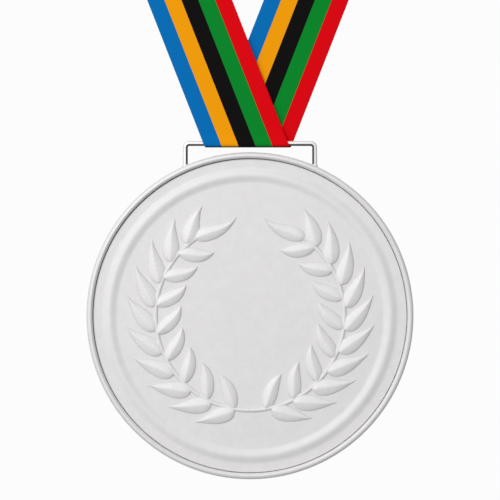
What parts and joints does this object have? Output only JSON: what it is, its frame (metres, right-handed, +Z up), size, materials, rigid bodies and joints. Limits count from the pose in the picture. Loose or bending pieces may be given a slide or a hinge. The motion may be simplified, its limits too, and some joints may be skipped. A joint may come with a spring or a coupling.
{
  "type": "award medal",
  "caption": "Round frosted-silver award medal with a laurel wreath in relief, hinged by a wire bail to a striped neck ribbon.",
  "frame": {"origin": "neck side of the ribbon at the nape, in the middle of the sewn lap, where a wearer's neck carries it", "axes": "+Z up, -Y towards the front of the medal, +X to the right of someone facing it"},
  "size_m": [0.177, 0.1125, 0.3211],
  "materials": {
    "frosted_silver": "frosted silver plate",
    "polished_silver_rim": "satin silver plate",
    "silver_wire": "satin silver plate",
    "braze": "satin silver plate",
    "striped_ribbon": "woven five-stripe ribbon",
    "thread": "twisted sewing thread"
  },
  "bodies": {
    "neck_ribbon": {"ribbon_front_strap": "striped_ribbon", "ribbon_back_strap": "striped_ribbon", "ribbon_bar_turn": "striped_ribbon", "ribbon_neck_left": "striped_ribbon", "ribbon_neck_right": "striped_ribbon", "ribbon_seam_stitching": "thread"},
    "medal": {"bezel_ring": "polished_silver_rim", "struck_disc": "frosted_silver", "reverse_plate": "frosted_silver", "laurel_branch_left": "frosted_silver", "laurel_branch_right": "frosted_silver", "ribbon_bail": "silver_wire", "bail_braze_left": "braze", "bail_braze_right": "braze"}
  },
  "joints": [
    {"name": "medal_swing", "type": "hinge", "parent": "neck_ribbon", "child": "medal", "pos_m": [0.0005, -0.10752, -0.22948], "axis": [1, 0, 0], "range_deg": [-100, 100]}
  ]
}
